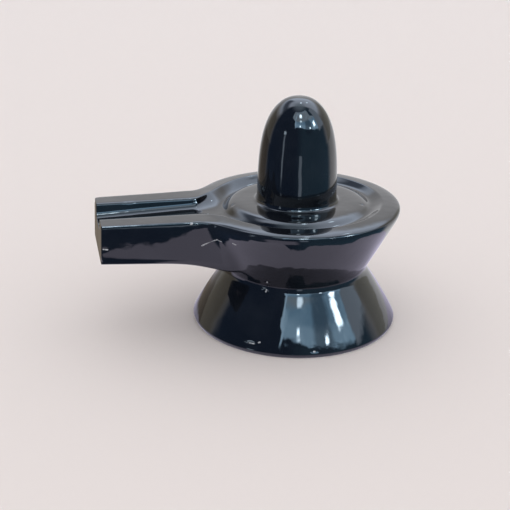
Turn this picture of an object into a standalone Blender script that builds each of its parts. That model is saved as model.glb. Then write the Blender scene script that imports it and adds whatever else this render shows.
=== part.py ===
# Shiva lingam of polished black stone, carved from one block: a flared foot, a dish with a spout,
# and an upright shaft. The spout runs along -X. The origin is the centre of the foot's underside.

import math

import bmesh
import bpy

MM = 0.001

# Foot, in millimetres
FOOT_UNDERSIDE_RADIUS = 23.4
FOOT_RADIUS = 23.8
FOOT_BAND_HEIGHT = 0.8
FOOT_SWELL = 0.3
NECK_RADIUS = 16.5
NECK_HEIGHT = 13.4
NECK_FILLET = 0.4
NECK_FILLET_HEIGHT = 1.3
NECK_FILLET_WAIST = 0.08

# Dish
DISH_RADIUS = 24.05
DISH_HEIGHT = 15.1
RIM_ROUNDING = 1.8
RIM_WIDTH = 4.5
RIM_RISE = 0.25
RIM_CROWN_INSET = 0.27
RIM_TOP_INSET = 1.44
GUTTER_BANK = 1.9
GUTTER_FLOOR = 1.1
GUTTER_DEPTH_AT_BACK = 0.85
GUTTER_DEPTH_AT_MOUTH = 1.95
GUTTER_FALL_POWER = 1.5
DISC_RADIUS = 15.25
DISC_RISE = 0.15
DISC_SHOULDER = 0.82
DISC_ROLL = 0.15

# Spout and its channel
SPOUT_REACH = 45.2
SPOUT_END_LEAN = 0.35
SPOUT_ROOT_WIDTH = 21.4
SPOUT_END_WIDTH = 19.8
SPOUT_ROOT_THICKNESS = 9.95
SPOUT_END_THICKNESS = 9.0
HAUNCH_DROP = 3.0
HAUNCH_ROUND_POWER = 1.4
SPOUT_FILLET = 4.6
SPOUT_FLARE = 2.0
SPOUT_EDGE = 0.3
SPOUT_LOWER_EDGE = 0.6
SPOUT_END_BEVEL = 0.9
CHANNEL_WIDTH = 9.7
CHANNEL_FLOOR_WIDTH = 8.6
CHANNEL_DEPTH_AT_MOUTH = 2.05
CHANNEL_DEPTH_AT_END = 3.1
MOUTH_CUTBACK = 0.9

# Shaft
SHAFT_RADIUS = 9.1
SHAFT_HEIGHT = 23.9
SHAFT_FILLET = 0.55
SHAFT_FILLET_REACH = 1.375
SHAFT_RISE_POWER = 3.24
SHAFT_ROUND_POWER = 2.39

# Mesh layout: columns go round the axis from the middle of the spout, rings go from the
# underside up over the side, across the dish and up the shaft.
COLUMNS = 32
SPOUT_COLUMNS = 3
RIDGE_COLUMN = 2
FLOOR_COLUMN = 1
# The end face's inner points stay this share of the way up, clear of the channel's notch
END_FACE_SPREAD = 0.85
# The haunch's middle points stay this share of the way out along the fillet
HAUNCH_SPREAD = 0.8

# How crisp the polished edges are, from 0 for soft to 1 for sharp
CRISP_FOOT = 0.6
CRISP_NECK = 1.0
CRISP_RIM = 0.5
CRISP_DISC = 0.1
CRISP_SPOUT = 0.65
CRISP_LOWER_SPOUT = 0.3
CRISP_FLOOR = 0.35

RIM_HEIGHT = NECK_HEIGHT + DISH_HEIGHT
HAUNCH_FOOT_HEIGHT = RIM_HEIGHT - SPOUT_ROOT_THICKNESS - HAUNCH_DROP
SPOUT_ANGLE = math.asin((SPOUT_ROOT_WIDTH / 2 + SPOUT_FLARE) / DISH_RADIUS)
RIM_OUTER_RADIUS = DISH_RADIUS - RIM_TOP_INSET
RIM_CROWN_RADIUS = DISH_RADIUS - RIM_CROWN_INSET
RIM_INNER_RADIUS = DISH_RADIUS - RIM_WIDTH
GUTTER_OUTER_RADIUS = RIM_INNER_RADIUS - GUTTER_BANK
GUTTER_INNER_RADIUS = GUTTER_OUTER_RADIUS - GUTTER_FLOOR
DISC_HEIGHT = RIM_HEIGHT + DISC_RISE
FILLET_END = DISH_RADIUS + (SPOUT_FILLET - SPOUT_EDGE) / 3


def column_angle(column):
    """Angle from the middle of the spout, with the spout's columns evenly across its root."""
    side = -1 if column > COLUMNS // 2 else 1
    steps = COLUMNS - column if side < 0 else column
    if steps <= SPOUT_COLUMNS:
        return side * SPOUT_ANGLE * steps / SPOUT_COLUMNS
    share = (steps - SPOUT_COLUMNS) / (COLUMNS // 2 - SPOUT_COLUMNS)
    return side * (SPOUT_ANGLE + (math.pi - SPOUT_ANGLE) * share)


# A smoothed ring lies a little inside its control points, so its points start that much wider.
RING_SPREAD = 3 / (2 + math.cos(2 * math.pi / COLUMNS))


def on_circle(radius, height, column):
    angle = column_angle(column)
    reach = radius * RING_SPREAD
    return (-reach * math.cos(angle), -reach * math.sin(angle), height)


def steps_from_spout(column):
    return min(column, COLUMNS - column)


def side_of(column):
    return -1 if column > COLUMNS // 2 else 1


def in_spout(column):
    return steps_from_spout(column) < SPOUT_COLUMNS


def dish_side_radius(height):
    """Radius of the dish's conical side, which widens from the neck to the rounded rim."""
    straight = DISH_HEIGHT - RIM_ROUNDING / 2
    share = min((height - NECK_HEIGHT) / straight, 1)
    return NECK_RADIUS + (DISH_RADIUS - NECK_RADIUS) * share


def foot_side(share):
    """Point of the foot's slightly swelling side, from its bottom band to the neck's fillet."""
    top_radius = NECK_RADIUS + NECK_FILLET
    top_height = NECK_HEIGHT - NECK_FILLET_HEIGHT
    radius = FOOT_RADIUS + (top_radius - FOOT_RADIUS) * share + FOOT_SWELL * 4 * share * (1 - share)
    return radius, FOOT_BAND_HEIGHT + (top_height - FOOT_BAND_HEIGHT) * share


def shaft_side(share):
    """Point of the shaft's side and rounded top, at a share of its height."""
    radius = SHAFT_RADIUS * (1 - share ** SHAFT_RISE_POWER) ** (1 / SHAFT_ROUND_POWER)
    return radius, DISC_HEIGHT + SHAFT_HEIGHT * share


def gutter_height(column):
    """The gutter falls towards the spout's mouth."""
    nearness = ((1 + math.cos(column_angle(column))) / 2) ** GUTTER_FALL_POWER
    depth = GUTTER_DEPTH_AT_BACK + (GUTTER_DEPTH_AT_MOUTH - GUTTER_DEPTH_AT_BACK) * nearness
    return RIM_HEIGHT - depth


def channel_floor(reach):
    """Height of the channel's floor, which falls from the mouth to the spout's end."""
    run = SPOUT_REACH - RIM_INNER_RADIUS
    share = (reach - RIM_INNER_RADIUS) / run
    depth = CHANNEL_DEPTH_AT_MOUTH + (CHANNEL_DEPTH_AT_END - CHANNEL_DEPTH_AT_MOUTH) * share
    return RIM_HEIGHT - depth


def spout_half_width(reach):
    share = (reach - DISH_RADIUS) / (SPOUT_REACH - DISH_RADIUS)
    return (SPOUT_ROOT_WIDTH + (SPOUT_END_WIDTH - SPOUT_ROOT_WIDTH) * share) / 2


def underside_height(reach):
    """Height of the spout's underside, which curves down as a haunch to meet the dish's side."""
    run = (reach - FILLET_END) / (SPOUT_REACH - FILLET_END)
    thickness = SPOUT_ROOT_THICKNESS + (SPOUT_END_THICKNESS - SPOUT_ROOT_THICKNESS) * max(run, 0)
    back = (FILLET_END - reach) / (FILLET_END - dish_side_radius(HAUNCH_FOOT_HEIGHT))
    drop = HAUNCH_DROP * min(max(back, 0), 1) ** HAUNCH_ROUND_POWER
    return RIM_HEIGHT - thickness - drop


def row_heights(bottom):
    """Heights of the rows of points up the spout's side, and up the dish's side beside it."""
    return (
        bottom,
        bottom + SPOUT_LOWER_EDGE * 1.6,
        bottom + (RIM_HEIGHT - bottom) * 0.45,
        RIM_HEIGHT - RIM_ROUNDING * 2.4,
        RIM_HEIGHT - RIM_ROUNDING,
        RIM_HEIGHT - RIM_ROUNDING * 0.25,
        RIM_HEIGHT,
    )


def end_lean(reach, height):
    """How much further out the spout's end stands towards its underside."""
    if reach < SPOUT_REACH - SPOUT_END_BEVEL:
        return 0
    return SPOUT_END_LEAN * (RIM_HEIGHT - height) / SPOUT_END_THICKNESS


def turned_ring(radius, height):
    return [on_circle(radius, height, column) for column in range(COLUMNS)]


def gutter_ring(radius):
    return [on_circle(radius, gutter_height(column), column) for column in range(COLUMNS)]


def rim_ring(radius, rise, towards_channel):
    """Ring on the flat rim, which opens for the channel between the spout's ridges."""
    ring = []
    for column in range(COLUMNS):
        steps = steps_from_spout(column)
        if steps > RIDGE_COLUMN:
            ring.append(on_circle(radius, RIM_HEIGHT + rise, column))
            continue
        corner = on_circle(RIM_INNER_RADIUS + MOUTH_CUTBACK, 0, RIDGE_COLUMN)
        ridge_reach = -corner[0] + (RIM_OUTER_RADIUS + corner[0]) * towards_channel
        ridge_side = -corner[1] + (CHANNEL_WIDTH / 2 + corner[1]) * towards_channel
        if steps == RIDGE_COLUMN:
            ring.append((-ridge_reach, -side_of(column) * ridge_side, RIM_HEIGHT + rise))
            continue
        floor_reach = radius + MOUTH_CUTBACK * (1 - towards_channel) / 2
        flare = (1 - towards_channel) * MOUTH_CUTBACK
        across = (CHANNEL_FLOOR_WIDTH / 2 + flare) * steps / FLOOR_COLUMN
        ring.append((-floor_reach, -side_of(column) * across, channel_floor(floor_reach)))
    return ring


def ring_table():
    """All rings from the underside to the shaft's top, each with a name and its edge crispness."""
    lower = FOOT_UNDERSIDE_RADIUS - FOOT_BAND_HEIGHT
    rings = [("underside", turned_ring(lower, 0), 0)]
    rings.append(("underside_edge", turned_ring(FOOT_UNDERSIDE_RADIUS, 0), CRISP_FOOT))
    rings.append(("foot_band", turned_ring(*foot_side(0)), CRISP_FOOT))
    for share in (0.12, 0.4, 0.7, 0.92, 1):
        rings.append(("foot_side", turned_ring(*foot_side(share)), 0))
    neck_foot = turned_ring(NECK_RADIUS + NECK_FILLET_WAIST, NECK_HEIGHT - NECK_FILLET_HEIGHT / 2)
    rings.append(("neck_fillet", neck_foot, 0))
    rings.append(("neck", turned_ring(NECK_RADIUS, NECK_HEIGHT), CRISP_NECK))

    below_spout = (NECK_HEIGHT + HAUNCH_FOOT_HEIGHT) / 2
    rings.append(("dish_side", turned_ring(dish_side_radius(below_spout), below_spout), 0))
    beside_spout = row_heights(HAUNCH_FOOT_HEIGHT)
    for height in beside_spout[:-2]:
        rings.append(("spout_row", turned_ring(dish_side_radius(height), height), 0))
    rings.append(("spout_row", turned_ring(RIM_CROWN_RADIUS, beside_spout[-2]), 0))
    rings.append(("spout_row", rim_ring(RIM_OUTER_RADIUS, 0, 1), 0))

    middle = (RIM_OUTER_RADIUS + RIM_INNER_RADIUS) / 2
    rings.append(("rim", rim_ring(middle, RIM_RISE * 0.6, 0.5), 0))
    rings.append(("rim_inner_edge", rim_ring(RIM_INNER_RADIUS, RIM_RISE, 0), CRISP_RIM))
    rings.append(("gutter", gutter_ring(GUTTER_OUTER_RADIUS), 0))
    rings.append(("gutter", gutter_ring(GUTTER_INNER_RADIUS), 0))
    rings.append(("disc_edge", turned_ring(DISC_RADIUS, DISC_HEIGHT - DISC_ROLL), CRISP_DISC))
    rings.append(("disc", turned_ring(DISC_RADIUS * DISC_SHOULDER, DISC_HEIGHT), 0))
    rings.append(("disc", turned_ring(SHAFT_RADIUS + SHAFT_FILLET_REACH, DISC_HEIGHT), 0))
    rings.append(("shaft_foot", turned_ring(SHAFT_RADIUS + SHAFT_FILLET, DISC_HEIGHT), 0))
    rings.append(("shaft", turned_ring(SHAFT_RADIUS + SHAFT_FILLET * 0.1, DISC_HEIGHT + SHAFT_FILLET), 0))
    for share in (0.08, 0.2, 0.42, 0.6, 0.75, 0.87, 0.95, 0.982, 0.9945, 0.9991):
        rings.append(("shaft", turned_ring(*shaft_side(share)), 0))
    return rings


def fillet_point(start, half_width, end_reach, share):
    """Point on the curve that carries the dish's side round into the spout's side."""
    turn = (start[0] + (start[1] - half_width) * math.tan(SPOUT_ANGLE), half_width)
    end = (end_reach, half_width)
    weights = ((1 - share) ** 2, 2 * share * (1 - share), share ** 2)
    reach = weights[0] * start[0] + weights[1] * turn[0] + weights[2] * end[0]
    across = weights[0] * start[1] + weights[1] * turn[1] + weights[2] * end[1]
    return reach, across


# Each section across the spout: its reach from the axis, and how far round the fillet its
# sides are, or none where the sides run straight
SPOUT_SECTIONS = (
    (RIM_OUTER_RADIUS + SPOUT_FILLET * 0.3, 0.5),
    (FILLET_END + SPOUT_END_BEVEL, 1),
    ((FILLET_END + SPOUT_REACH) / 2, None),
    (SPOUT_REACH - SPOUT_END_BEVEL, None),
    (SPOUT_REACH, None),
)


def spout_section(reach, turn_share, rows):
    """One section across the spout: a table of points by row, bottom to top, and by column."""
    columns = range(-SPOUT_COLUMNS, SPOUT_COLUMNS + 1)
    last = len(rows) - 1
    straight_half = spout_half_width(FILLET_END if turn_share is not None else reach)

    def side_point(row):
        inset = {0: SPOUT_LOWER_EDGE, last: SPOUT_EDGE}.get(row, 0)
        if turn_share is None:
            return reach, straight_half - inset
        start = (-rows[row][SPOUT_COLUMNS][0], -rows[row][SPOUT_COLUMNS][1])
        return fillet_point(start, straight_half - inset, FILLET_END, turn_share)

    table = []
    for row in range(last + 1):
        line = {}
        for column in columns:
            steps = abs(column)
            sign = -1 if column < 0 else 1
            if steps == SPOUT_COLUMNS:
                point_reach, across = side_point(row)
                heights = row_heights(underside_height(side_point(0)[0]))
                height = RIM_HEIGHT - SPOUT_EDGE if row == last - 1 else heights[row]
                point_reach += end_lean(reach, height)
                line[column] = (-point_reach, -sign * across, height)
                continue
            bottom_reach = reach
            if turn_share is not None and turn_share < 1:
                root_reach = -rows[0][column][0]
                bottom_reach = root_reach + (FILLET_END - root_reach) * turn_share * HAUNCH_SPREAD
            bottom_across = side_point(0)[1] * steps / SPOUT_COLUMNS
            top, top_across = RIM_HEIGHT, CHANNEL_WIDTH / 2
            if steps <= FLOOR_COLUMN:
                top = channel_floor(reach)
                top_across = CHANNEL_FLOOR_WIDTH / 2 * steps / FLOOR_COLUMN
            bottom = underside_height(bottom_reach)
            share = (row_heights(bottom)[row] - bottom) / (RIM_HEIGHT - bottom)
            if row != last:
                share *= END_FACE_SPREAD
            across = bottom_across + (top_across - bottom_across) * share
            height = bottom + (top - bottom) * share
            point_reach = bottom_reach + (reach - bottom_reach) * share + end_lean(reach, height)
            line[column] = (-point_reach, -sign * across, height)
        table.append(line)
    return table


def stone():
    material = bpy.data.materials.new("polished_black_stone")
    material.use_nodes = True
    shader = material.node_tree.nodes["Principled BSDF"]
    shader.inputs["Base Color"].default_value = (0.012, 0.014, 0.018, 1)
    shader.inputs["Roughness"].default_value = 0.08
    shader.inputs["Metallic"].default_value = 0
    material.diffuse_color = (0.03, 0.033, 0.04, 1)
    return material


def carve_lingam():
    mesh = bpy.data.meshes.new("shiva_lingam")
    build = bmesh.new()
    crease = build.edges.layers.float.new("crease_edge")

    def mark(first, second, crispness):
        edge = build.edges.get((first, second))
        edge[crease] = max(edge[crease], crispness)

    rings = ring_table()
    rows = [index for index, ring in enumerate(rings) if ring[0] == "spout_row"]
    lowest, highest = rows[0], rows[-1]

    # The turned body, with no points behind the spout's root
    points = []
    for index, (name, places, crispness) in enumerate(rings):
        behind_spout = lowest < index < highest
        points.append([
            None if behind_spout and in_spout(column) else build.verts.new(place)
            for column, place in enumerate(places)
        ])
    for index in range(len(rings) - 1):
        for column in range(COLUMNS):
            after = (column + 1) % COLUMNS
            corners = (
                points[index][column], points[index][after],
                points[index + 1][after], points[index + 1][column],
            )
            at_spout = lowest <= index < highest and (in_spout(column) or in_spout(after))
            if not at_spout:
                build.faces.new(corners)
    build.faces.new(list(reversed(points[0])))
    build.faces.new(points[-1])

    # The spout, one section after another, and its end face
    columns = list(range(-SPOUT_COLUMNS, SPOUT_COLUMNS + 1))
    root = [{column: points[index][column] for column in columns} for index in rows]
    sections = [root]
    top = len(rows) - 1
    outline = [(0, column) for column in columns]
    outline += [(row, SPOUT_COLUMNS) for row in range(1, top)]
    outline += [(top, column) for column in reversed(columns)]
    outline += [(row, -SPOUT_COLUMNS) for row in range(top - 1, 0, -1)]
    for reach, turn_share in SPOUT_SECTIONS:
        places = spout_section(reach, turn_share, [rings[index][1] for index in rows])
        section = []
        for row, line in enumerate(places):
            kept = {}
            for column, place in line.items():
                if (row, column) in outline or reach == SPOUT_REACH:
                    kept[column] = build.verts.new(place)
            section.append(kept)
        sections.append(section)
    for near, far in zip(sections, sections[1:]):
        for (row, column), (next_row, next_column) in zip(outline, outline[1:] + outline[:1]):
            build.faces.new((
                near[row][column], near[next_row][next_column],
                far[next_row][next_column], far[row][column],
            )[::-1])
    end = sections[-1]
    for row in range(top):
        for column in columns[:-1]:
            build.faces.new((
                end[row][column], end[row][column + 1],
                end[row + 1][column + 1], end[row + 1][column],
            ))

    # Crisp edges round the turned body
    for index, (name, places, crispness) in enumerate(rings):
        if crispness == 0:
            continue
        for column in range(COLUMNS):
            after = (column + 1) % COLUMNS
            across_mouth = in_spout(column) and in_spout(after)
            if name == "rim_inner_edge" and across_mouth:
                continue
            mark(points[index][column], points[index][after], crispness)

    # Crisp edges along the spout's ridges, its floor, its outer sides and its end
    rim_line = [index for index, ring in enumerate(rings) if ring[0].startswith("rim")]
    for column in (RIDGE_COLUMN, -RIDGE_COLUMN):
        line = [points[index][column] for index in reversed(rim_line)]
        line += [section[top][column] for section in sections]
        for first, second in zip(line, line[1:]):
            mark(first, second, CRISP_SPOUT)
    for near, far in zip(sections, sections[1:]):
        for side in (-1, 1):
            mark(near[top][side * FLOOR_COLUMN], far[top][side * FLOOR_COLUMN], CRISP_FLOOR)
            mark(near[0][side * SPOUT_COLUMNS], far[0][side * SPOUT_COLUMNS], CRISP_LOWER_SPOUT)
            if near is not root:
                mark(near[top][side * SPOUT_COLUMNS], far[top][side * SPOUT_COLUMNS], CRISP_SPOUT)
    for (row, column), (next_row, next_column) in zip(outline, outline[1:] + outline[:1]):
        mark(end[row][column], end[next_row][next_column], CRISP_SPOUT)

    bmesh.ops.scale(build, vec=(MM, MM, MM), verts=build.verts)
    bmesh.ops.recalc_face_normals(build, faces=build.faces)
    build.to_mesh(mesh)
    build.free()
    mesh.shade_smooth()

    lingam = bpy.data.objects.new("shiva_lingam", mesh)
    bpy.context.scene.collection.objects.link(lingam)
    mesh.materials.append(stone())
    smooth = lingam.modifiers.new("polished form", "SUBSURF")
    smooth.levels = 1
    smooth.render_levels = 1
    return lingam


for old in list(bpy.data.objects):
    bpy.data.objects.remove(old, do_unlink=True)
carve_lingam()
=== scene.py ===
import math
import bmesh
import bpy
from mathutils import Matrix, Vector


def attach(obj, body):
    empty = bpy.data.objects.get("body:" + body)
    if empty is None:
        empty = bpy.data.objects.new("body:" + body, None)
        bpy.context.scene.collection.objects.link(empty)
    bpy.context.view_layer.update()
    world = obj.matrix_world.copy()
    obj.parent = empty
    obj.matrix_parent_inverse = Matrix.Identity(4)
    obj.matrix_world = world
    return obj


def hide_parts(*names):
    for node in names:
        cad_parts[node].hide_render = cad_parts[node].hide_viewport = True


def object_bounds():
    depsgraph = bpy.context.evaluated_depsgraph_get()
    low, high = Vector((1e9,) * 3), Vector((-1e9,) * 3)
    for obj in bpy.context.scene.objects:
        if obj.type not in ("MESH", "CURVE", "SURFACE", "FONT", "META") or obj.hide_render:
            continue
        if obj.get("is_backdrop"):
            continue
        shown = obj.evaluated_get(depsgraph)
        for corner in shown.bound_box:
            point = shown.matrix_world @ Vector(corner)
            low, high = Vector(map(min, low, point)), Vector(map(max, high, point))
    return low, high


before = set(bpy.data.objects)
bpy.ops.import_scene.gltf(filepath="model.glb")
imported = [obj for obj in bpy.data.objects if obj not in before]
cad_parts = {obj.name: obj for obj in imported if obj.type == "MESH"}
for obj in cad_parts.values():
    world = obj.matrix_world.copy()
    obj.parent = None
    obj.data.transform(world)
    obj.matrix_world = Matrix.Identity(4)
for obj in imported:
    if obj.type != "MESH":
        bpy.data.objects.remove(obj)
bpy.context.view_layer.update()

mm = 0.001


class Value:
    # one socket of a shader, so that sums can be written as plain expressions
    def __init__(self, tree, socket):
        self.tree = tree
        self.socket = socket

    def joined(self, operation, first, second=None):
        node = self.tree.nodes.new("ShaderNodeMath")
        node.operation = operation
        for slot, part in zip(node.inputs, (first, second)):
            if isinstance(part, Value):
                self.tree.links.new(part.socket, slot)
            elif part is not None:
                slot.default_value = part
        return Value(self.tree, node.outputs[0])

    def __add__(self, other):
        return self.joined("ADD", self, other)

    def __radd__(self, other):
        return self.joined("ADD", other, self)

    def __sub__(self, other):
        return self.joined("SUBTRACT", self, other)

    def __rsub__(self, other):
        return self.joined("SUBTRACT", other, self)

    def __mul__(self, other):
        return self.joined("MULTIPLY", self, other)

    def __rmul__(self, other):
        return self.joined("MULTIPLY", other, self)

    def __truediv__(self, other):
        return self.joined("DIVIDE", self, other)

    def __pow__(self, other):
        return self.joined("POWER", self, other)


class Shader:
    # a material's or a world's node tree, emptied and built up again
    def __init__(self, owner):
        owner.use_nodes = True
        self.tree = owner.node_tree
        self.tree.nodes.clear()

    def add(self, kind, settings=None, **sockets):
        node = self.tree.nodes.new(kind)
        for name, setting in (settings or {}).items():
            setattr(node, name, setting)
        for name, part in sockets.items():
            number = name[1:]
            slot = node.inputs[int(number) if number.isdigit() else name.replace("_", " ")]
            if isinstance(part, Value):
                part = part.socket
            if isinstance(part, bpy.types.NodeSocket):
                self.tree.links.new(part, slot)
            else:
                slot.default_value = part
        return node

    def value(self, socket):
        return Value(self.tree, socket)

    def noise(self, place, scale, detail, rough):
        node = self.add("ShaderNodeTexNoise", Vector=place, Scale=scale, Detail=detail, Roughness=rough)
        return self.value(node.outputs[0])

    def step(self, value, low, high):
        # smooth step from 0 at low to 1 at high
        settings = {"interpolation_type": "SMOOTHSTEP"}
        node = self.add("ShaderNodeMapRange", settings, Value=value, From_Min=low, From_Max=high)
        return self.value(node.outputs["Result"])

    def blend(self, share, first, second):
        node = self.add("ShaderNodeMix", {"data_type": "RGBA"}, _0=share, _6=first, _7=second)
        return node.outputs[2]


def deselect():
    for other in list(bpy.context.selected_objects):
        other.select_set(False)


def nearest(mesh, place):
    # the corner of the mesh that is closest to a place in mm
    place = Vector(place) * mm
    return min(mesh.verts, key=lambda corner: (corner.co - place).length_squared)


def shift(piece, old, new):
    # takes hold of the corner at one place, in mm, and moves it to another
    bpy.ops.mesh.select_all(action="DESELECT")
    mesh = bmesh.from_edit_mesh(piece.data)
    nearest(mesh, old).select_set(True)
    mesh.select_flush_mode()
    bmesh.update_edit_mesh(piece.data)
    move = (Vector(new) - Vector(old)) * mm
    bpy.ops.transform.translate(value=move)


def sharpen(piece, places, amount, closed=False):
    # makes the edges along a line of corners crisper
    bpy.ops.mesh.select_all(action="DESELECT")
    mesh = bmesh.from_edit_mesh(piece.data)
    corners = [nearest(mesh, place) for place in places]
    follow = corners[1:] + (corners[:1] if closed else [])
    for first, second in zip(corners, follow):
        edge = next((e for e in first.link_edges if e.other_vert(first) == second), None)
        if edge:
            edge.select_set(True)
    bmesh.update_edit_mesh(piece.data)
    bpy.ops.transform.edge_crease(value=amount)


# the stone: foot, dish, spout and shaft in one piece, lengths in mm
stone = {
    "columns": 32, "spoutColumns": 3,
    "footRadius": 23.8, "footUnderside": 23.4, "footBand": 0.8, "footSwell": 0.3,
    "neckRadius": 16.5, "neckHeight": 13.4, "neckFoot": 16.9, "neckUnder": 1.3, "neckWaist": 0.08,
    "dishRadius": 24.05, "dishHeight": 15.1, "rimRounding": 1.8, "rimWidth": 4.5, "rimRise": 0.25,
    "rimTopInset": 1.44, "rimCrownInset": 0.27,
    "gutterBank": 1.9, "gutterFloor": 1.1, "gutterBack": 0.85, "gutterMouth": 1.95, "gutterPower": 1.5,
    "discRadius": 15.25, "discRise": 0.15, "discShoulder": 0.82, "discRoll": 0.15,
    "spoutReach": 45.2, "spoutLean": 0.35, "spoutRoot": 21.4, "spoutEnd": 19.8,
    "spoutRootThick": 9.95, "spoutEndThick": 9.0, "haunchDrop": 3.0, "haunchPower": 1.4,
    "spoutFillet": 4.6, "spoutEdge": 0.3, "spoutLowerEdge": 0.6, "spoutBevel": 0.9,
    "haunchSpread": 0.8, "innerSpread": 0.85,
    "channelWidth": 9.7, "channelFloor": 8.6, "channelMouth": 2.05, "channelEnd": 3.1, "mouthCutback": 0.9,
    "shaftRadius": 9.1, "shaftHeight": 23.9, "risePower": 3.24, "roundPower": 2.39,
    "shaftFillet": 0.55, "filletReach": 1.375,
    "footShares": (0.12, 0.4, 0.7, 0.92, 1.0),
    "shaftShares": (0.08, 0.2, 0.42, 0.6, 0.75, 0.87, 0.95, 0.982, 0.9945, 0.9991),
    "fineness": 3,
    # how crisp each edge stays when the body is smoothed
    "crisp": {
        "foot": 0.6, "neck": 1.0, "rim": 0.5, "disc": 0.1,
        "ridge": 0.5, "channel": 0.15, "lower": 0.3, "outer": 0.55, "end": 0.5,
    },
}
crisp = stone["crisp"]
columns = stone["columns"]
stepAngle = 2 * math.pi / columns
spread = 3 / (2 + math.cos(stepAngle))  # smoothing draws a ring in by this much
rimHeight = stone["neckHeight"] + stone["dishHeight"]
discHeight = rimHeight + stone["discRise"]
rimOuter = stone["dishRadius"] - stone["rimTopInset"]
rimInner = stone["dishRadius"] - stone["rimWidth"]
haunchFoot = rimHeight - stone["spoutRootThick"] - stone["haunchDrop"]
filletEnd = stone["dishRadius"] + (stone["spoutFillet"] - stone["spoutEdge"]) / 3


def around(radius, height, column):
    # place on a ring; column 0 is the middle of the spout, along -X
    angle = stepAngle * column
    return (-radius * spread * math.cos(angle), -radius * spread * math.sin(angle), height)


def dishSide(height):
    share = min((height - stone["neckHeight"]) / (stone["dishHeight"] - stone["rimRounding"] / 2), 1)
    return stone["neckRadius"] + (stone["dishRadius"] - stone["neckRadius"]) * share


def footSide(share):
    # the foot's side rises to just under the neck, where it turns steeper
    fall = (stone["neckFoot"] - stone["footRadius"]) * share
    swell = stone["footSwell"] * 4 * share * (1 - share)
    height = stone["footBand"] + (stone["neckHeight"] - stone["neckUnder"] - stone["footBand"]) * share
    return stone["footRadius"] + fall + swell, height


def shaftSide(share):
    radius = stone["shaftRadius"] * (1 - share ** stone["risePower"]) ** (1 / stone["roundPower"])
    return radius, discHeight + stone["shaftHeight"] * share


def gutterDepth(column):
    nearness = ((1 + math.cos(stepAngle * column)) / 2) ** stone["gutterPower"]
    return stone["gutterBack"] + (stone["gutterMouth"] - stone["gutterBack"]) * nearness


def channelHeight(reach):
    share = (reach - rimInner) / (stone["spoutReach"] - rimInner)
    return rimHeight - stone["channelMouth"] - (stone["channelEnd"] - stone["channelMouth"]) * share


def spoutHalf(reach):
    share = (reach - stone["dishRadius"]) / (stone["spoutReach"] - stone["dishRadius"])
    return (stone["spoutRoot"] + (stone["spoutEnd"] - stone["spoutRoot"]) * share) / 2


def underside(reach):
    run = max((reach - filletEnd) / (stone["spoutReach"] - filletEnd), 0)
    thick = stone["spoutRootThick"] + (stone["spoutEndThick"] - stone["spoutRootThick"]) * run
    back = min(max((filletEnd - reach) / (filletEnd - dishSide(haunchFoot)), 0), 1)
    return rimHeight - thick - stone["haunchDrop"] * back ** stone["haunchPower"]


def rowHeights(bottom):
    # the rows of corners up the side of the spout and of the dish beside it
    rounding = stone["rimRounding"]
    low = [bottom, bottom + stone["spoutLowerEdge"] * 1.6, bottom + (rimHeight - bottom) * 0.45]
    return low + [rimHeight - rounding * 2.4, rimHeight - rounding, rimHeight - rounding * 0.25, rimHeight]


def lean(reach, height):
    # the spout's end stands further out towards its underside
    if reach < stone["spoutReach"] - stone["spoutBevel"]:
        return 0
    return stone["spoutLean"] * (rimHeight - height) / stone["spoutEndThick"]


# rings from the underside up to the top of the shaft: radius, height, crispness
rings = [(stone["footUnderside"] - stone["footBand"], 0, 0), (stone["footUnderside"], 0, crisp["foot"])]
rings.append((*footSide(0), crisp["foot"]))
rings += [(*footSide(share), 0) for share in stone["footShares"]]
rings.append((stone["neckRadius"] + stone["neckWaist"], stone["neckHeight"] - stone["neckUnder"] / 2, 0))
rings.append((stone["neckRadius"], stone["neckHeight"], crisp["neck"]))
belowSpout = (stone["neckHeight"] + haunchFoot) / 2
rings.append((dishSide(belowSpout), belowSpout, 0))
firstRow = len(rings)
beside = rowHeights(haunchFoot)
rings += [(dishSide(height), height, 0) for height in beside[:5]]
rings.append((stone["dishRadius"] - stone["rimCrownInset"], beside[5], 0))
rings.append((rimOuter, rimHeight, 0))
lastRow = len(rings) - 1
rings.append(((rimOuter + rimInner) / 2, rimHeight + stone["rimRise"] * 0.6, 0))
rings.append((rimInner, rimHeight + stone["rimRise"], crisp["rim"]))
gutterOuter = rimInner - stone["gutterBank"]
rings.append((gutterOuter, rimHeight - stone["gutterBack"], 0))
rings.append((gutterOuter - stone["gutterFloor"], rimHeight - stone["gutterBack"], 0))
rings.append((stone["discRadius"], discHeight - stone["discRoll"], crisp["disc"]))
rings.append((stone["discRadius"] * stone["discShoulder"], discHeight, 0))
rings.append((stone["shaftRadius"] + stone["filletReach"], discHeight, 0))
rings.append((stone["shaftRadius"] + stone["shaftFillet"], discHeight, 0))
rings.append((stone["shaftRadius"] + stone["shaftFillet"] * 0.1, discHeight + stone["shaftFillet"], 0))
rings += [(*shaftSide(share), 0) for share in stone["shaftShares"]]

deselect()
firstRadius = rings[0][0] * spread * mm
bpy.ops.mesh.primitive_circle_add(
    vertices=columns, radius=firstRadius, fill_type="NGON", location=(0, 0, 0),
)
lingam = bpy.context.active_object
lingam.name = "polished_lingam"
bpy.ops.object.mode_set(mode="EDIT")
bpy.ops.mesh.select_mode(type="EDGE")
for (radiusBefore, heightBefore, _), (radius, height, _) in zip(rings, rings[1:]):
    up = (0, 0, (height - heightBefore) * mm)
    bpy.ops.mesh.extrude_edges_move(TRANSFORM_OT_translate={"value": up})
    grow = radius / radiusBefore
    bpy.ops.transform.resize(value=(grow, grow, 1), center_override=(0, 0, height * mm))
bpy.ops.mesh.edge_face_add()
bpy.ops.mesh.select_mode(type="VERT")
print("stone: body raised in", len(rings), "rings")

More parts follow.
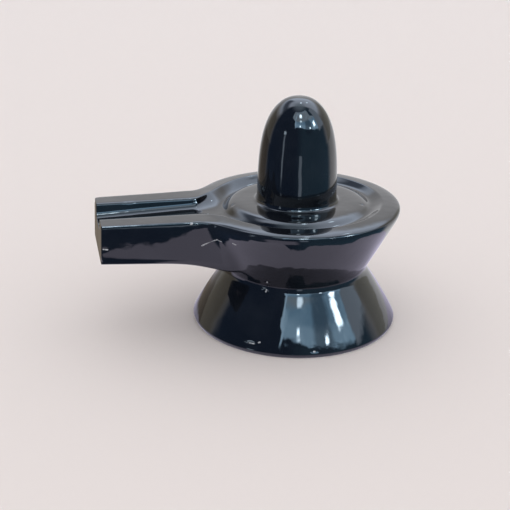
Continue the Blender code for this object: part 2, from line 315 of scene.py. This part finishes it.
# the gutter falls towards the spout
for radius in (gutterOuter, gutterOuter - stone["gutterFloor"]):
    for column in range(columns):
        old = around(radius, rimHeight - stone["gutterBack"], column)
        shift(lingam, old, (old[0], old[1], rimHeight - gutterDepth(column)))

# the rim opens into the channel between the two ridges
rimTable = {
    0: (rimOuter, 0, 1.0),
    1: ((rimOuter + rimInner) / 2, stone["rimRise"] * 0.6, 0.5),
    2: (rimInner, stone["rimRise"], 0.0),
}
mouthPlaces = {}
for ring, (radius, rise, opened) in rimTable.items():
    corner = around(rimInner + stone["mouthCutback"], 0, 2)
    ridgeReach = -corner[0] + (rimOuter + corner[0]) * opened
    ridgeSide = -corner[1] + (stone["channelWidth"] / 2 + corner[1]) * opened
    floorReach = radius + stone["mouthCutback"] * (1 - opened) / 2
    floorSide = stone["channelFloor"] / 2 + (1 - opened) * stone["mouthCutback"]
    for side in (1, -1):
        new = (-ridgeReach, -side * ridgeSide, rimHeight + rise)
        shift(lingam, around(radius, rimHeight + rise, side * 2), new)
        mouthPlaces[ring, side * 2] = new
        new = (-floorReach, -side * floorSide, channelHeight(floorReach))
        shift(lingam, around(radius, rimHeight + rise, side), new)
        mouthPlaces[ring, side] = new
    new = (-floorReach, 0, channelHeight(floorReach))
    shift(lingam, around(radius, rimHeight + rise, 0), new)
    mouthPlaces[ring, 0] = new
print("stone: gutter and mouth shaped")

# the spout is drawn out of the dish's side, section by section
last = stone["spoutColumns"]
rows = list(range(lastRow - firstRow + 1))
across = list(range(-last, last + 1))
held = {}
for row in rows:
    radius, height, _ = rings[firstRow + row]
    for column in across:
        held[row, column] = around(radius, height, column)
for column in across[1:-1]:
    held[rows[-1], column] = mouthPlaces[0, column]
root = dict(held)


def filletPoint(start, half, share):
    # place on the curve that carries the dish's side round into the spout's side
    turn = (start[0] + (start[1] - half) * math.tan(last * stepAngle), half)
    weights = ((1 - share) ** 2, 2 * share * (1 - share), share ** 2)
    ends = (start, turn, (filletEnd, half))
    return tuple(sum(w * end[axis] for w, end in zip(weights, ends)) for axis in (0, 1))


def sectionPlaces(reach, turned):
    # corners of one section across the spout; turned is its share of the way round the fillet
    top = rows[-1]
    straight = spoutHalf(reach if turned is None else filletEnd)

    def sidePoint(row):
        inset = {0: stone["spoutLowerEdge"], top: stone["spoutEdge"]}.get(row, 0)
        if turned is None:
            return reach, straight - inset
        return filletPoint((-root[row, last][0], -root[row, last][1]), straight - inset, turned)

    places = {}
    for row in rows:
        for column in across:
            steps, sign = abs(column), (-1 if column < 0 else 1)
            if steps == last:
                pointReach, side = sidePoint(row)
                height = rowHeights(underside(sidePoint(0)[0]))[row]
                height = rimHeight - stone["spoutEdge"] if row == top - 1 else height
                pointReach += lean(reach, height)
                places[row, column] = (-pointReach, -sign * side, height)
                continue
            bottomReach = reach
            if turned is not None and turned < 1:
                rootReach = -root[0, column][0]
                bottomReach = rootReach + (filletEnd - rootReach) * turned * stone["haunchSpread"]
            upper, upperSide = rimHeight, stone["channelWidth"] / 2
            if steps <= 1:
                upper, upperSide = channelHeight(reach), stone["channelFloor"] / 2 * steps
            bottom = underside(bottomReach)
            share = (rowHeights(bottom)[row] - bottom) / (rimHeight - bottom)
            share *= 1 if row == top else stone["innerSpread"]
            lowerSide = sidePoint(0)[1] * steps / last
            side = lowerSide + (upperSide - lowerSide) * share
            height = bottom + (upper - bottom) * share
            pointReach = bottomReach + (reach - bottomReach) * share + lean(reach, height)
            places[row, column] = (-pointReach, -sign * side, height)
    return places


sections = [
    (rimOuter + stone["spoutFillet"] * 0.3, 0.5),
    (filletEnd + stone["spoutBevel"], 1),
    ((filletEnd + stone["spoutReach"]) / 2, None),
    (stone["spoutReach"] - stone["spoutBevel"], None),
    (stone["spoutReach"], None),
]
outline = [(0, column) for column in across] + [(row, last) for row in rows[1:-1]]
outline += [(rows[-1], column) for column in reversed(across)]
outline += [(row, -last) for row in reversed(rows[1:-1])]
sectionLines = [dict(root)]
for reach, turned in sections:
    bpy.ops.mesh.select_mode(type="FACE")
    bpy.ops.mesh.select_all(action="DESELECT")
    mesh = bmesh.from_edit_mesh(lingam.data)
    grid = {key: nearest(mesh, place) for key, place in held.items()}
    inGrid = set(grid.values())
    for face in mesh.faces:
        if all(corner in inGrid for corner in face.verts):
            face.select_set(True)
    bmesh.update_edit_mesh(lingam.data)
    out = Vector((-3.0, 0, 0))
    bpy.ops.mesh.extrude_region_move(TRANSFORM_OT_translate={"value": out * mm})
    bpy.ops.mesh.select_mode(type="VERT")
    held = {key: Vector(place) + out for key, place in held.items()}
    for key, new in sectionPlaces(reach, turned).items():
        if key in outline or reach == stone["spoutReach"]:
            shift(lingam, held[key], new)
            held[key] = Vector(new)
    sectionLines.append(dict(held))
print("stone: spout drawn out in", len(sections), "sections")

# crisp edges: round the body, then the ridges, channel floor, outer sides and end
bpy.ops.mesh.select_mode(type="EDGE")
bpy.ops.mesh.select_all(action="SELECT")
bpy.ops.transform.edge_crease(value=-1)
for radius, height, amount in rings:
    if amount and radius != rimInner:
        line = [around(radius, height, column) for column in range(columns)]
        sharpen(lingam, line, amount, closed=True)
    elif amount:
        line = [around(radius, height, column) for column in range(last, columns - last + 1)]
        sharpen(lingam, [mouthPlaces[2, 2]] + line + [mouthPlaces[2, -2]], amount)
top = rows[-1]
for column in (2, -2):
    line = [mouthPlaces[ring, column] for ring in (2, 1)] + [part[top, column] for part in sectionLines]
    sharpen(lingam, line, crisp["ridge"])
for side in (1, -1):
    sharpen(lingam, [part[top, side] for part in sectionLines], crisp["channel"])
    sharpen(lingam, [part[0, side * last] for part in sectionLines], crisp["lower"])
    sharpen(lingam, [part[top, side * last] for part in sectionLines[1:]], crisp["outer"])
sharpen(lingam, [sectionLines[-1][key] for key in outline], crisp["end"], closed=True)

bpy.ops.mesh.select_all(action="SELECT")
bpy.ops.mesh.normals_make_consistent(inside=False)
bpy.ops.object.mode_set(mode="OBJECT")
bpy.ops.object.modifier_add(type="SUBSURF")
lingam.modifiers[-1].levels = stone["fineness"]
lingam.modifiers[-1].render_levels = stone["fineness"]
bpy.ops.object.modifier_apply(modifier=lingam.modifiers[-1].name)

# small chips along the edges and pits in the polish: place, depth and width
chips = [
    # low on the foot
    ((-14.06, -18.37, 2.06), 0.22, 1.0), ((-14.9, -17.7, 1.9), 0.12, 0.7),
    ((-12.64, -19.02, 2.62), 0.12, 0.6), ((-1.20, -23.41, 1.48), 0.12, 0.6), ((19.5, 13.6, 0.8), 0.2, 1.1),
    ((-21.3, 10.4, 0.8), 0.18, 1.0), ((2.0, 23.7, 0.9), 0.15, 0.9),
    # beside the neck
    ((-9.93, -13.52, 12.37), 0.15, 0.6), ((-9.84, -14.04, 14.62), 0.12, 0.6),
    # the spout's root and the disc's edge
    ((-24.81, -10.63, 28.38), 0.15, 0.7), ((-14.92, -0.48, 28.26), 0.22, 0.9),
    ((13.80, -5.89, 28.39), 0.2, 0.8),
    # the spout's ridges and end
    ((-37.99, 4.94, 28.34), 0.18, 0.8), ((-45.47, -9.60, 20.29), 0.25, 1.1), ((-45.5, 9.7, 28.3), 0.3, 1.4),
    ((-44.9, 9.8, 19.8), 0.2, 1.0), ((-44.87, -9.92, 23.39), 0.1, 0.7),
]
bpy.ops.object.mode_set(mode="EDIT")
for chip, depth, width in chips:
    bpy.ops.mesh.select_all(action="DESELECT")
    mesh = bmesh.from_edit_mesh(lingam.data)
    corner = nearest(mesh, chip)
    inward = corner.normal * -depth * mm
    corner.select_set(True)
    mesh.select_flush_mode()
    bmesh.update_edit_mesh(lingam.data)
    bpy.ops.transform.translate(
        value=inward, use_proportional_edit=True, proportional_edit_falloff="SHARP",
        proportional_size=width * mm,
    )
bpy.ops.object.mode_set(mode="OBJECT")
bpy.ops.object.shade_smooth()
print("stone: smoothed and chipped,", len(lingam.data.polygons), "faces")

# the finish: black stone, mirror polished by hand; its sharp edges carry a painted highlight and its nicks
# painted glints
finish = {
    "black": (0.0045, 0.0055, 0.008, 1), "cloud": (0.010, 0.012, 0.016, 1), "wearAndHighlight": (0.16, 0.165, 0.18, 1),
    "scuffGlintTone": (0.42, 0.44, 0.47, 1),
    "gloss": 0.03, "haze": 0.045, "wearHaze": 0.2, "scuffHaze": 0.3, "ior": 1.65,
    "waviness": 1.3, "rippling": 0.05, "reliefDepth": 0.00009,
    # pale marks where the polish is broken, partly painted glints of the nicks: start, end and width in mm
    "scuffGlintLines": [
        ((-23.74, -10.77, 23.08), (-20.62, -11.55, 24.52), 0.32),
        ((-20.62, -11.55, 24.52), (-19.58, -11.90, 24.07), 0.14),
        ((-17.6, -13.9, 24.3), (-17.0, -14.3, 24.2), 0.35),
        ((-44.95, -9.92, 23.39), (-44.1, -9.95, 23.28), 0.32),
        ((-14.6, -17.95, 2.15), (-13.7, -18.55, 2.2), 0.3),
        ((-12.7, -19.0, 2.62), (-12.5, -19.1, 2.7), 0.4),
        ((-1.3, -23.41, 1.48), (-1.1, -23.41, 1.48), 0.4),
        ((-9.98, -13.5, 12.2), (-9.9, -13.55, 12.6), 0.4),
        ((-9.9, -14.0, 14.5), (-9.8, -14.08, 14.8), 0.35),
        ((-26.1, -10.59, 28.25), (-25.9, -10.6, 28.3), 0.5),
        ((19.3, 13.8, 0.9), (19.8, 13.2, 1.1), 0.6),
        ((-21.5, 10.2, 0.9), (-21.1, 10.8, 1.0), 0.6),
        ((-45.5, 9.3, 28.4), (-45.5, 9.9, 28.0), 0.4),
    ],
}


def lineMask(nodes, place, start, end, width):
    # 1 along a line between two places on the stone, 0 away from it
    start, end = Vector(start) * mm, Vector(end) * mm
    run = end - start
    kind = "ShaderNodeVectorMath"
    offset = nodes.add(kind, {"operation": "SUBTRACT"}, _0=place, _1=start).outputs[0]
    along = nodes.add(kind, {"operation": "DOT_PRODUCT"}, _0=offset, _1=run / run.length_squared)
    share = nodes.value(along.outputs["Value"])
    share = share.joined("MINIMUM", share.joined("MAXIMUM", share, 0.0), 1.0)
    foot = nodes.add(kind, {"operation": "SCALE"}, _0=run, Scale=share).outputs[0]
    gap = nodes.add(kind, {"operation": "DISTANCE"}, _0=offset, _1=foot)
    return 1 - nodes.step(nodes.value(gap.outputs["Value"]) / mm, width * 0.35, width * 0.65)


polish = bpy.data.materials.new("polished_black_stone")
nodes = Shader(polish)
place = nodes.add("ShaderNodeTexCoord").outputs["Object"]
cloud = nodes.step(nodes.noise(place, 90, 4, 0.55), 0.42, 0.68)
grain = nodes.step(nodes.noise(place, 1600, 2, 0.6), 0.62, 0.75)
uneven = nodes.noise(place, 140, 2, 0.5)
ripple = nodes.noise(place, 1700, 2, 0.5) * nodes.step(nodes.noise(place, 75, 2, 0.5), 0.45, 0.65)
color = nodes.blend(cloud * 0.7 + grain * 0.3, finish["black"], finish["cloud"])
edge = nodes.value(nodes.add("ShaderNodeNewGeometry").outputs["Pointiness"])
# painted edge highlight: sharp edges are lighter in colour, partly rubbed wear; the same mask makes them
# rougher
rubbedAndHighlit = nodes.step(edge, 0.54, 0.62) * nodes.step(nodes.noise(place, 900, 3, 0.6), 0.55, 0.7)
color = nodes.blend(rubbedAndHighlit * 0.35, color, finish["wearAndHighlight"])
# pale marks along the nicks: broken polish, with painted glints along them
scuffAndGlint = 0.0
for start, end, width in finish["scuffGlintLines"]:
    scuffAndGlint = scuffAndGlint + lineMask(nodes, place, start, end, width)
scuffAndGlint = scuffAndGlint * nodes.step(nodes.noise(place, 2600, 2, 0.5), 0.3, 0.45)
color = nodes.blend(scuffAndGlint, color, finish["scuffGlintTone"])
gloss = finish["gloss"] + nodes.step(nodes.noise(place, 220, 3, 0.6), 0.45, 0.8) * finish["haze"]
gloss = gloss + rubbedAndHighlit * finish["wearHaze"] + scuffAndGlint * finish["scuffHaze"]
relief = uneven * finish["waviness"] + ripple * finish["rippling"]
bump = nodes.add("ShaderNodeBump", Strength=1.0, Distance=finish["reliefDepth"], Height=relief)
body = nodes.add(
    "ShaderNodeBsdfPrincipled", Base_Color=color, Roughness=gloss, IOR=finish["ior"],
    Normal=bump.outputs["Normal"],
)
nodes.add("ShaderNodeOutputMaterial", Surface=body.outputs[0])
polish.diffuse_color = finish["cloud"]
lingam.data.materials.clear()
lingam.data.materials.append(polish)
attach(lingam, "root")
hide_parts("shiva_lingam")
print("stone: polished, with", len(finish["scuffGlintLines"]), "scuffGlintLines")

# the floor is plain pale paper; in the polish it glows with painted light near the stone and shows dark
# further out, with painted shade at the stone's foot and a painted shadow on the left
floor = {"size": 6.0, "color": (0.80, 0.745, 0.735, 1)}
room = {
    "turn": 15.0,  # the camera stands this far round from -Y
    "shut": (0, 0, 0, 1), "white": (0.92, 0.92, 0.95, 1), "soft": (1.0, 0.98, 0.97, 1),
    "dark": (0.03, 0.065, 0.14, 1), "dusk": (0.09, 0.20, 0.31, 1), "near": (0.86, 0.81, 1.04, 1),
    "warm": (0.42, 0.38, 0.31, 1), "olive": (0.50, 0.49, 0.41, 1), "paintedShadow": (0.24, 0.20, 0.16, 1),
    "overhead": (1.2, 1.5, 1.8, 1), "ceiling": (2.1, 2.4, 2.9, 1), "strip": (1.1, 1.35, 1.65, 1),
    "window": (1.0, 1.85, 2.7, 1), "pane": (2.3, 3.5, 4.6, 1), "upper": (1.4, 1.75, 2.05, 1),
    "lamp": (20.0, 25.0, 29.0, 1),
    # the floor's lit part: its reach in mm, and how much less or more it has in front
    "litReach": 86.0, "litFront": -52.0, "litRight": 12.0, "litLeft": 5.0, "litMiddle": -6.0,
    "ragged": 22.0, "shadeReach": 40.0,
    # the window, in degrees round and up
    "windowSides": (-14, 78), "windowTop": (66, 70), "windowShift": 18, "sill": 31.5, "sillFall": 13,
    # left, right, bottom, top, softness, wobble, strength and tone
    "patches": [
        (-15, -12, 30, 64, 1.0, 0.5, 1.0, "pane"), (77, 104, 16, 60, 2.0, 0.6, 1.0, "strip"),
        (27, 50, 20, 44, 4.0, 0.8, 0.6, "dark"), (-47, -43, -90, 16, 1.5, 0.0, 1.0, "strip"),
    ],
    # left, right, bottom, top, softness, wobble and strength
    "lamps": [
        (6, 18, 52.5, 60.5, 3.0, 0.0, 1.0), (60, 69, 27, 36, 2.0, 0.6, 1.0),
        (5, 9, 32.5, 35.5, 1.5, 0.0, 1.0), (41, 45, 26.5, 29, 1.2, 0.0, 1.0),
        (7, 15, 42.5, 45.5, 2.0, 0.0, 0.4), (166, 173, 66.5, 71, 1.5, 0.0, 0.6),
        (146, 152, 54.5, 57.5, 1.5, 0.0, 0.5), (-50, -43, 17, 20, 1.5, 0.0, 0.15),
    ],
}


def bearings(nodes, place):
    # a place or direction as seen from the stone: 0 degrees is towards the camera, plus to its right
    spin = {"rotation_type": "Z_AXIS"}
    turned = nodes.add("ShaderNodeVectorRotate", spin, Vector=place, Angle=math.radians(room["turn"]))
    split = nodes.add("ShaderNodeSeparateXYZ", Vector=turned.outputs[0])
    right, away, upward = [nodes.value(split.outputs[n]) for n in (0, 1, 2)]
    return right.joined("ARCTAN2", right, away * -1) * (180 / math.pi), right, away, upward


def between(nodes, value, low, high, soft):
    # 1 from low to high, falling softly to 0 on both sides
    return nodes.step(value, low - soft, low + soft) * (1 - nodes.step(value, high - soft, high + soft))


deselect()
bpy.ops.mesh.primitive_plane_add(size=floor["size"], location=(0, 0, 0))
ground = bpy.context.active_object
ground.name = "floor"
paper = bpy.data.materials.new("paper_with_painted_glow")
nodes = Shader(paper)
place = nodes.add("ShaderNodeTexCoord").outputs["Object"]
bearing, right, away, _ = bearings(nodes, place)
reach = (right * right + away * away) ** 0.5 / mm
torn = (nodes.noise(place, 70, 3, 0.6) - 0.5) * room["ragged"]
front = between(nodes, bearing, -104, 104, 10)
# a painted brown shadow on the left of the stone, seen in the polish, which also cuts the painted pool of
# light there
left = nodes.step(bearing, -168, -128) * (1 - nodes.step(bearing, -108, -95))
far = nodes.blend(nodes.step(bearing, -10, 20), room["dark"], room["dusk"])
# painted light strips on the floor, seen only in the polish
strip = between(nodes, bearing, -47, -43, 1.5) * nodes.step(reach, 110, 190)
strip = strip + between(nodes, bearing, 4, 12, 1.5) * nodes.step(reach, 55, 90) * 0.8
far = nodes.blend(strip, far, room["strip"])
shown = nodes.blend(front, room["white"], far)
shown = nodes.blend(left, shown, room["paintedShadow"])
edge = room["litReach"] + nodes.step(bearing, -80, -66) * room["litFront"]
edge = edge + nodes.step(bearing, 58, 72) * room["litRight"]
edge = edge + between(nodes, bearing, -46, -10, 4) * room["litLeft"]
edge = edge + between(nodes, bearing, -8, 12, 4) * room["litMiddle"]
# a painted pool of light on the floor near the stone, seen only in the polish
lit = 1 - nodes.step(reach + torn * 0.35 - edge, -0.8, 0.8)
lit = lit * (1 - left * nodes.step(reach, 24, 34))
outer = 1 - nodes.step(reach + torn * 0.7, 75.5, 78.5)
# a brighter painted glow in front of the stone
glow = between(nodes, bearing + torn * 0.6, -27, 1, 3) * nodes.step(reach + torn * 0.4, 35, 39) * outer
lit = lit + glow * (1 - lit) * 0.88
shown = nodes.blend(lit, shown, room["near"])
# painted shade: the floor is darker close to the stone's foot, as seen in the polish
shade = 0.12 + nodes.step(reach, 16, 26) * 0.63 + nodes.step(reach, 26, room["shadeReach"]) * 0.25
# glossy rays see this painted light and shade as a glow; other rays see the plain paper
seen = nodes.add("ShaderNodeEmission", Color=nodes.blend(shade, room["shut"], shown), Strength=1.0)
body = nodes.add("ShaderNodeBsdfPrincipled", Base_Color=floor["color"], Roughness=0.9)
path = nodes.add("ShaderNodeLightPath").outputs["Is Glossy Ray"]
surface = nodes.add("ShaderNodeMixShader", _0=path, _1=body.outputs[0], _2=seen.outputs[0])
nodes.add("ShaderNodeOutputMaterial", Surface=surface.outputs[0])
ground.data.materials.append(paper)
ground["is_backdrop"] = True
print("floor: laid")

# light: a soft even room; in the polish it is white behind and dark in front, with one big window
world = bpy.data.worlds.new("studio")
bpy.context.scene.world = world
nodes = Shader(world)
look = nodes.add("ShaderNodeTexCoord").outputs["Generated"]
bearing, _, _, upward = bearings(nodes, look)
height = upward.joined("ARCSINE", upward) * (180 / math.pi)
patchy = nodes.noise(look, 7, 3, 0.6)
ragged = (nodes.noise(look, 11, 2, 0.5) - 0.5) * 7


def patch(left, right, bottom, top, soft, wobble=0.0):
    # 1 inside an area of the room, given in degrees round and up
    sides = between(nodes, bearing + ragged * wobble, left, right, soft)
    return sides * between(nodes, height - bottom + ragged * wobble, 0, top - bottom, soft)


front = between(nodes, bearing, -100, 100, 10)
color = nodes.blend(nodes.step(bearing, -10, 20), room["dark"], room["dusk"])
color = nodes.blend(front, room["white"], color)
color = nodes.blend((1 - front) * nodes.step(height, 26, 40), color, room["ceiling"])
color = nodes.blend(nodes.step(height, 64, 84) * (1 - front * 0.4), color, room["overhead"])
color = nodes.blend(patch(-161, -92, 38, 58, 7.0) * 0.85, color, room["dark"])
leftWall = nodes.step(bearing, -158, -128) * (1 - nodes.step(bearing, -107, -95))
color = nodes.blend(leftWall * (1 - nodes.step(height, 20, 28)), color, room["warm"])
color = nodes.blend(patch(106, 156, -90, 24, 5.0) * 0.8, color, room["olive"])
across = bearing + nodes.step(height, 42, 52) * room["windowShift"] + ragged * 0.5
sides = between(nodes, across, *room["windowSides"], 1.5)
sill = room["sill"] - nodes.step(bearing, 0, 85) * room["sillFall"]
window = nodes.step(height - sill + ragged * 0.3, -1, 1) * (1 - nodes.step(height, *room["windowTop"]))
window = sides * window
color = nodes.blend(window, color, room["window"])
color = nodes.blend(window * nodes.step(height, 40, 46), color, room["upper"])
low = 1 - nodes.step(height - sill, 4, 9)
color = nodes.blend(window * (nodes.step(patchy, 0.45, 0.75) * 0.5 + low * 0.5), color, room["pane"])
for *area, strength, tone in room["patches"]:
    color = nodes.blend(patch(*area) * strength, color, room[tone])
lamps = 0.0
for *area, strength in room["lamps"]:
    lamps = lamps + patch(*area) * strength
color = nodes.blend(lamps, color, room["lamp"])
path = nodes.add("ShaderNodeLightPath").outputs["Is Glossy Ray"]
sky = nodes.add("ShaderNodeBackground", Color=nodes.blend(path, room["soft"], color), Strength=1.0)
nodes.add("ShaderNodeOutputWorld", Surface=sky.outputs[0])
print("studio: lit")

# camera, fitted to the photo's view: focal length in pixels of the frame, lengths in mm, turns in degrees
view = {
    "focalPixels": 1033.3491, "framePixels": 510, "sensor": 36,
    "distance": 237.365, "above": 19.3707, "aim": 28.0, "roll": 1.6081, "pan": -2.2107, "tilt": -3.0274,
}


def swing(first, second, angle):
    # two directions at right angles, turned together in their own plane
    across, along = math.sin(angle), math.cos(angle)
    return first * along + second * across, second * along - first * across


above, pan, tilt, roll = [math.radians(view[name]) for name in ("above", "pan", "tilt", "roll")]
back, up = view["distance"] * math.cos(above), view["distance"] * math.sin(above)
spot = Vector((0, -back, view["aim"] + up)) * mm
ahead, side = Vector((0, math.cos(above), -math.sin(above))), Vector((1, 0, 0))
upright = side.cross(ahead)
ahead, side = swing(ahead, side, pan)
ahead, upright = swing(ahead, upright, tilt)
side, upright = swing(side, upright, roll)
turn = Matrix((side, upright, -ahead)).transposed().to_4x4()
bpy.ops.object.camera_add(location=(0, 0, 0))
camera = bpy.context.active_object
camera.matrix_world = Matrix.Rotation(math.radians(-room["turn"]), 4, "Z") @ Matrix.Translation(spot) @ turn
camera.data.sensor_width = view["sensor"]
camera.data.lens = view["focalPixels"] / view["framePixels"] * view["sensor"]
camera.data.clip_start = 0.001
camera.data.clip_end = 20
bpy.context.scene.camera = camera
bpy.context.scene.view_settings.view_transform = "Standard"

low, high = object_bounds()
